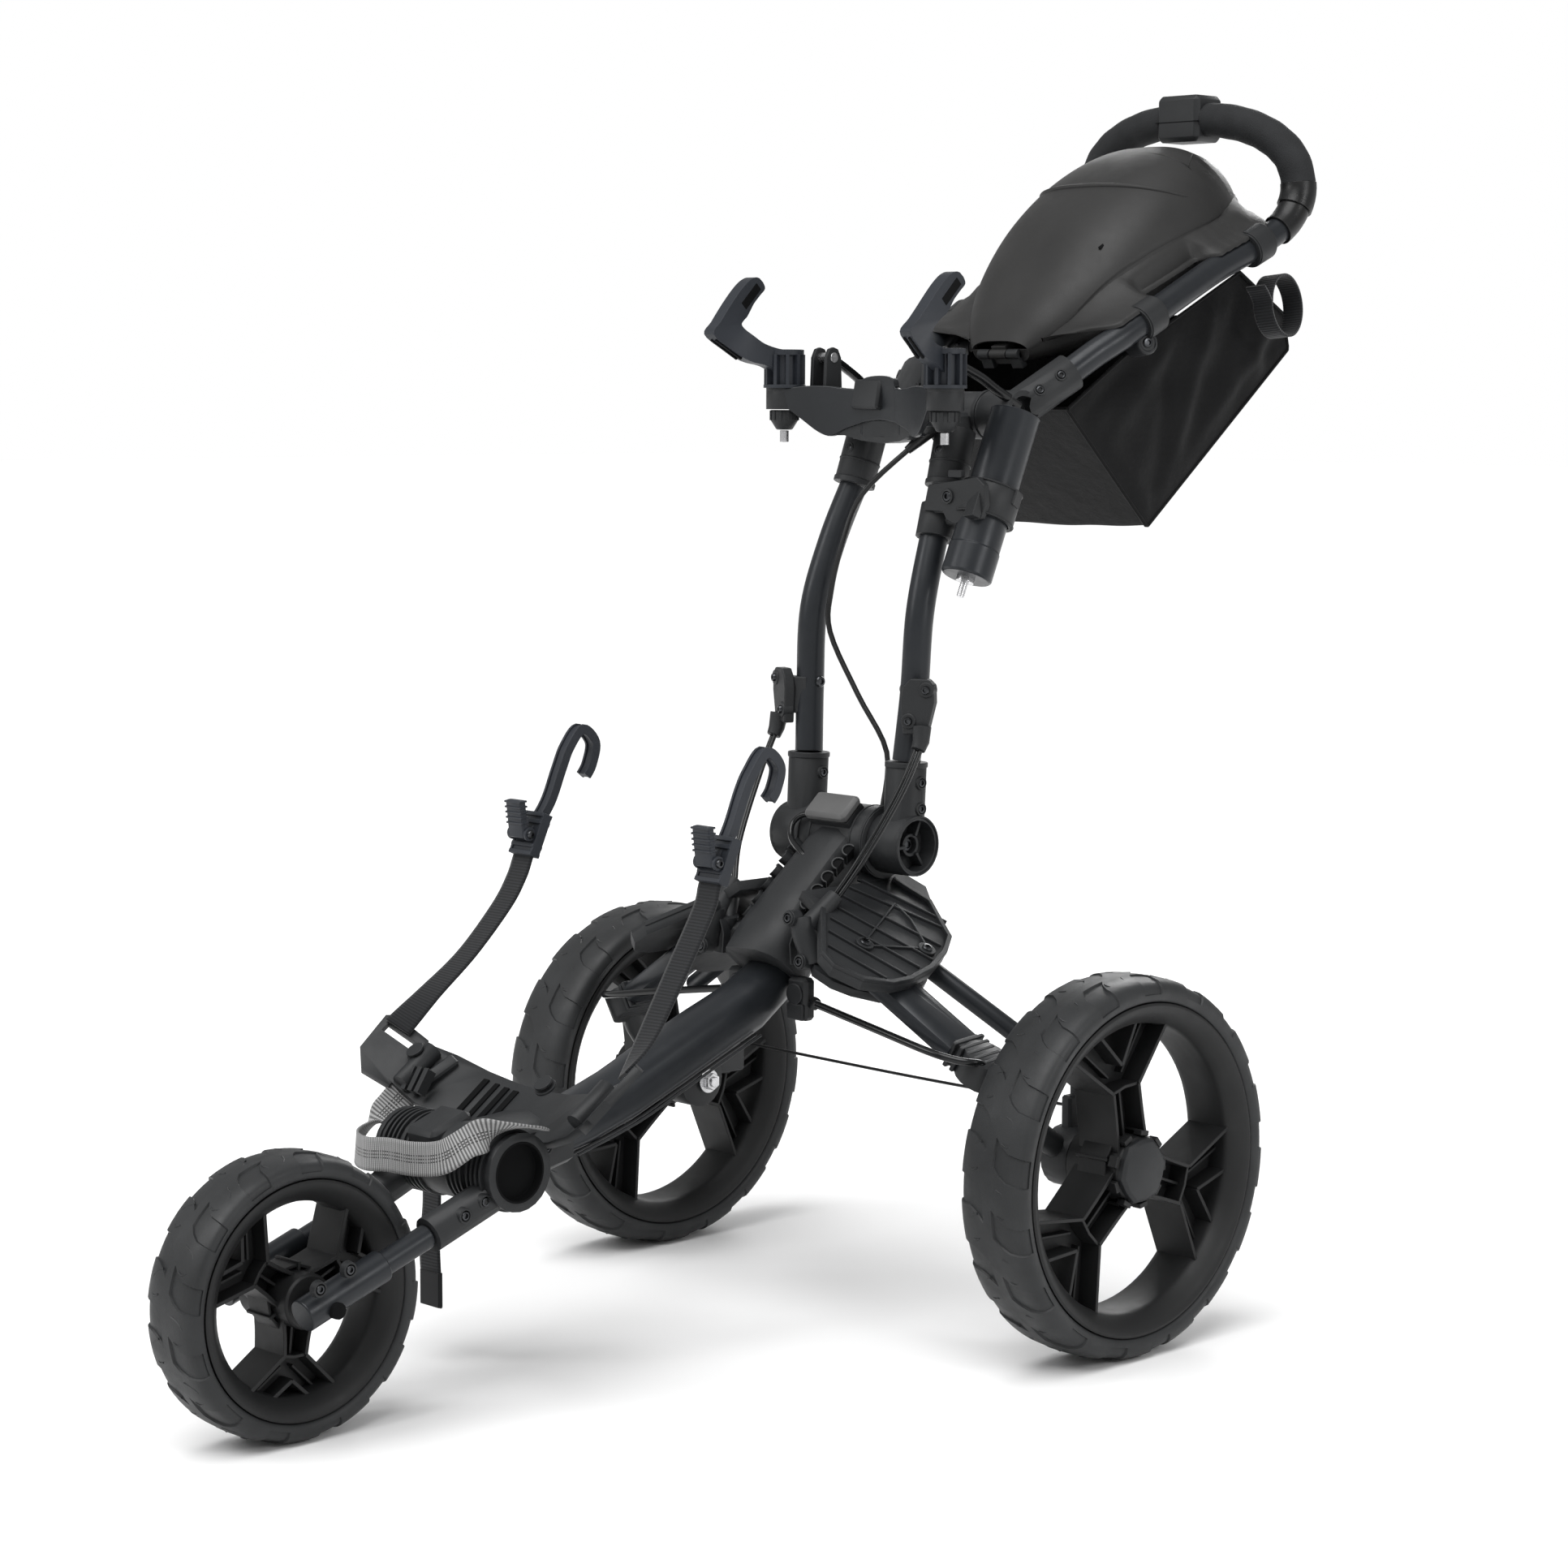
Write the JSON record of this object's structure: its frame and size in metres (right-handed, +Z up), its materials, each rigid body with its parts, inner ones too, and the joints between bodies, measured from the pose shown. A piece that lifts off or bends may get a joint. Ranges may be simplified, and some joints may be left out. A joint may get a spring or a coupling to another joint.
{
  "type": "folding golf push cart",
  "caption": "Three-wheel folding golf push cart with a lidded console, fabric storage bag, bag cradle with straps, upper prongs and an umbrella holder.",
  "frame": {"origin": "ground plane under the middle of the overall bounding box", "axes": "+X to the cart's left side, -Y towards the front wheel, +Z up"},
  "size_m": [0.5834, 1.1138, 0.992],
  "materials": {
    "button": "matte",
    "fabric": "matte",
    "hook": "satin",
    "lid": "matte",
    "plastic": "matte",
    "rim": "matte",
    "rubber": "matte",
    "steel": "satin",
    "tube": "satin",
    "webbing": "matte"
  },
  "bodies": {
    "frame": {"main_beam": "tube", "front_hub": "plastic", "hub": "plastic", "pull_strap": "webbing", "strap_tail": "fabric", "link_cable": "plastic", "stay_cable_left": "plastic", "stay_cable_right": "plastic"},
    "release": {"release_button": "button"},
    "fork": {"fork_arm_left": "plastic", "fork_arm_right": "plastic", "fork_tube_left": "tube", "fork_tube_right": "tube", "front_axle": "steel"},
    "front_wheel": {"front_rim": "rim", "front_tyre": "rubber"},
    "upper": {"leg_sleeve_left": "plastic", "leg_sleeve_right": "plastic", "hub_bolt": "steel", "leg_tube_left": "tube", "leg_tube_right": "tube", "stay_clip_left": "plastic", "stay_clip_right": "plastic", "top_saddle": "plastic", "umbrella_clamp": "plastic", "brake_cable": "plastic"},
    "umbrella": {"umbrella_tube": "plastic"},
    "prong_left": {"bag_prong_left": "hook"},
    "prong_right": {"bag_prong_right": "hook"},
    "nut_left": {"prong_nut_left": "plastic"},
    "nut_right": {"prong_nut_right": "plastic"},
    "latch": {"handle_latch": "button"},
    "handle": {"handle_tube": "tube", "handle_sleeve_left": "plastic", "handle_sleeve_right": "plastic", "grip_left": "rubber", "grip_right": "rubber", "accessory_block": "plastic", "console_tray": "plastic", "storage_bag": "fabric", "velcro_loop": "fabric"},
    "lid": {"console_lid": "lid"},
    "leg_left": {"rear_leg_left": "tube"},
    "brace_left": {"rear_brace_left": "tube"},
    "rod_left": {"fold_rod_left": "steel"},
    "carrier_left": {"wheel_carrier_left": "plastic"},
    "wheel_left": {"rear_rim_left": "rim", "rear_tyre_left": "rubber"},
    "leg_right": {"rear_leg_right": "tube"},
    "brace_right": {"rear_brace_right": "tube"},
    "rod_right": {"fold_rod_right": "steel"},
    "carrier_right": {"wheel_carrier_right": "plastic"},
    "wheel_right": {"rear_rim_right": "rim", "rear_tyre_right": "rubber"},
    "strap_left": {"strap_web_left": "fabric", "strap_hook_left": "hook"},
    "cam_left": {"strap_cam_left": "hook"},
    "strap_right": {"strap_web_right": "fabric", "strap_hook_right": "hook"},
    "cam_right": {"strap_cam_right": "hook"}
  },
  "joints": [
    {"name": "fork_fold", "type": "hinge", "parent": "frame", "child": "fork", "pos_m": [0, -0.2951, 0.176], "axis": [1, 0, 0], "range_deg": [0, 108]},
    {"name": "front_wheel_spin", "type": "hinge", "parent": "fork", "child": "front_wheel", "pos_m": [0, -0.4547, 0.1022], "axis": [1, 0, 0], "continuous": true},
    {"name": "leg_left_fold", "type": "hinge", "parent": "frame", "child": "leg_left", "pos_m": [0.082, 0.0369, 0.298], "axis": [-0.5201, 0, -0.8541], "range_deg": [0, 82], "deforming": ["link_cable"]},
    {"name": "brace_left_fold", "type": "hinge", "parent": "frame", "child": "brace_left", "pos_m": [0.094, 0.0929, 0.2906], "axis": [-0.5201, 0, -0.8541], "range_deg": [0, 82]},
    {"name": "rod_left_fold", "type": "hinge", "parent": "frame", "child": "rod_left", "pos_m": [0.0498, 0.0194, 0.26], "axis": [-0.5201, 0, -0.8541], "range_deg": [0, 82]},
    {"name": "carrier_left_fold", "type": "hinge", "parent": "leg_left", "child": "carrier_left", "pos_m": [0.2, 0.0509, 0.2262], "axis": [-0.5201, 0, -0.8541], "range_deg": [-82, 0]},
    {"name": "wheel_left_spin", "type": "hinge", "parent": "carrier_left", "child": "wheel_left", "pos_m": [0.2602, 0.1369, 0.1475], "axis": [1, 0, 0], "continuous": true},
    {"name": "leg_right_fold", "type": "hinge", "parent": "frame", "child": "leg_right", "pos_m": [-0.082, 0.0369, 0.298], "axis": [-0.5201, 0, 0.8541], "range_deg": [0, 82]},
    {"name": "brace_right_fold", "type": "hinge", "parent": "frame", "child": "brace_right", "pos_m": [-0.094, 0.0929, 0.2906], "axis": [-0.5201, 0, 0.8541], "range_deg": [0, 82]},
    {"name": "rod_right_fold", "type": "hinge", "parent": "frame", "child": "rod_right", "pos_m": [-0.0498, 0.0194, 0.26], "axis": [-0.5201, 0, 0.8541], "range_deg": [0, 82]},
    {"name": "carrier_right_fold", "type": "hinge", "parent": "leg_right", "child": "carrier_right", "pos_m": [-0.2, 0.0509, 0.2262], "axis": [-0.5201, 0, 0.8541], "range_deg": [-82, 0]},
    {"name": "wheel_right_spin", "type": "hinge", "parent": "carrier_right", "child": "wheel_right", "pos_m": [-0.2602, 0.1369, 0.1475], "axis": [1, 0, 0], "continuous": true},
    {"name": "frame_fold", "type": "hinge", "parent": "frame", "child": "upper", "pos_m": [0, 0.1124, 0.378], "axis": [1, 0, 0], "range_deg": [0, 75], "deforming": ["stay_cable_left", "stay_cable_right", "brake_cable"]},
    {"name": "handle_fold", "type": "hinge", "parent": "upper", "child": "handle", "pos_m": [0, 0.2249, 0.717], "axis": [1, 0, 0], "range_deg": [-84, 0]},
    {"name": "lid_open", "type": "hinge", "parent": "handle", "child": "lid", "pos_m": [0, 0.2816, 0.76718], "axis": [-1, 0, 0], "range_deg": [-85, 0]},
    {"name": "latch_flip", "type": "hinge", "parent": "upper", "child": "latch", "pos_m": [0, 0.2009, 0.737], "axis": [1, 0, 0], "range_deg": [0, 35], "stiffness_Nm_per_rad": 0.2},
    {"name": "umbrella_slide", "type": "slide", "parent": "upper", "child": "umbrella", "axis": [0, -0.4035, -0.915], "range_m": [0, 0.05]},
    {"name": "prong_left_swing", "type": "hinge", "parent": "upper", "child": "prong_left", "pos_m": [0.0895, 0.1204, 0.752], "axis": [0, 0, -1], "range_deg": [0, 60]},
    {"name": "prong_right_swing", "type": "hinge", "parent": "upper", "child": "prong_right", "pos_m": [-0.0895, 0.1204, 0.752], "axis": [0, 0, 1], "range_deg": [0, 60]},
    {"name": "nut_left_turn", "type": "hinge", "parent": "upper", "child": "nut_left", "pos_m": [0.0895, 0.1204, 0.7125], "axis": [0, 0, 1], "continuous": true},
    {"name": "nut_right_turn", "type": "hinge", "parent": "upper", "child": "nut_right", "pos_m": [-0.0895, 0.1204, 0.7125], "axis": [0, 0, 1], "continuous": true},
    {"name": "release_press", "type": "slide", "parent": "frame", "child": "release", "axis": [0, 0.667, -0.745], "range_m": [0, 0.002], "stiffness_N_per_m": 400},
    {"name": "strap_left_swing", "type": "hinge", "parent": "frame", "child": "strap_left", "pos_m": [0.129, -0.2481, 0.247], "axis": [1, 0, 0], "range_deg": [-5, 10]},
    {"name": "cam_left_flip", "type": "hinge", "parent": "strap_left", "child": "cam_left", "pos_m": [0.129, -0.1686, 0.396], "axis": [1, 0, 0], "range_deg": [0, 40]},
    {"name": "strap_right_swing", "type": "hinge", "parent": "frame", "child": "strap_right", "pos_m": [-0.129, -0.2481, 0.247], "axis": [1, 0, 0], "range_deg": [-5, 20]},
    {"name": "cam_right_flip", "type": "hinge", "parent": "strap_right", "child": "cam_right", "pos_m": [-0.129, -0.1281, 0.39], "axis": [1, 0, 0], "range_deg": [0, 40]}
  ],
  "couplings": [
    {"joint": "brace_left_fold", "follows": "leg_left_fold", "ratio": 1},
    {"joint": "rod_left_fold", "follows": "leg_left_fold", "ratio": 1},
    {"joint": "carrier_left_fold", "follows": "leg_left_fold", "ratio": -1},
    {"joint": "leg_right_fold", "follows": "leg_left_fold", "ratio": 1},
    {"joint": "brace_right_fold", "follows": "leg_left_fold", "ratio": 1},
    {"joint": "rod_right_fold", "follows": "leg_left_fold", "ratio": 1},
    {"joint": "carrier_right_fold", "follows": "leg_left_fold", "ratio": -1}
  ]
}
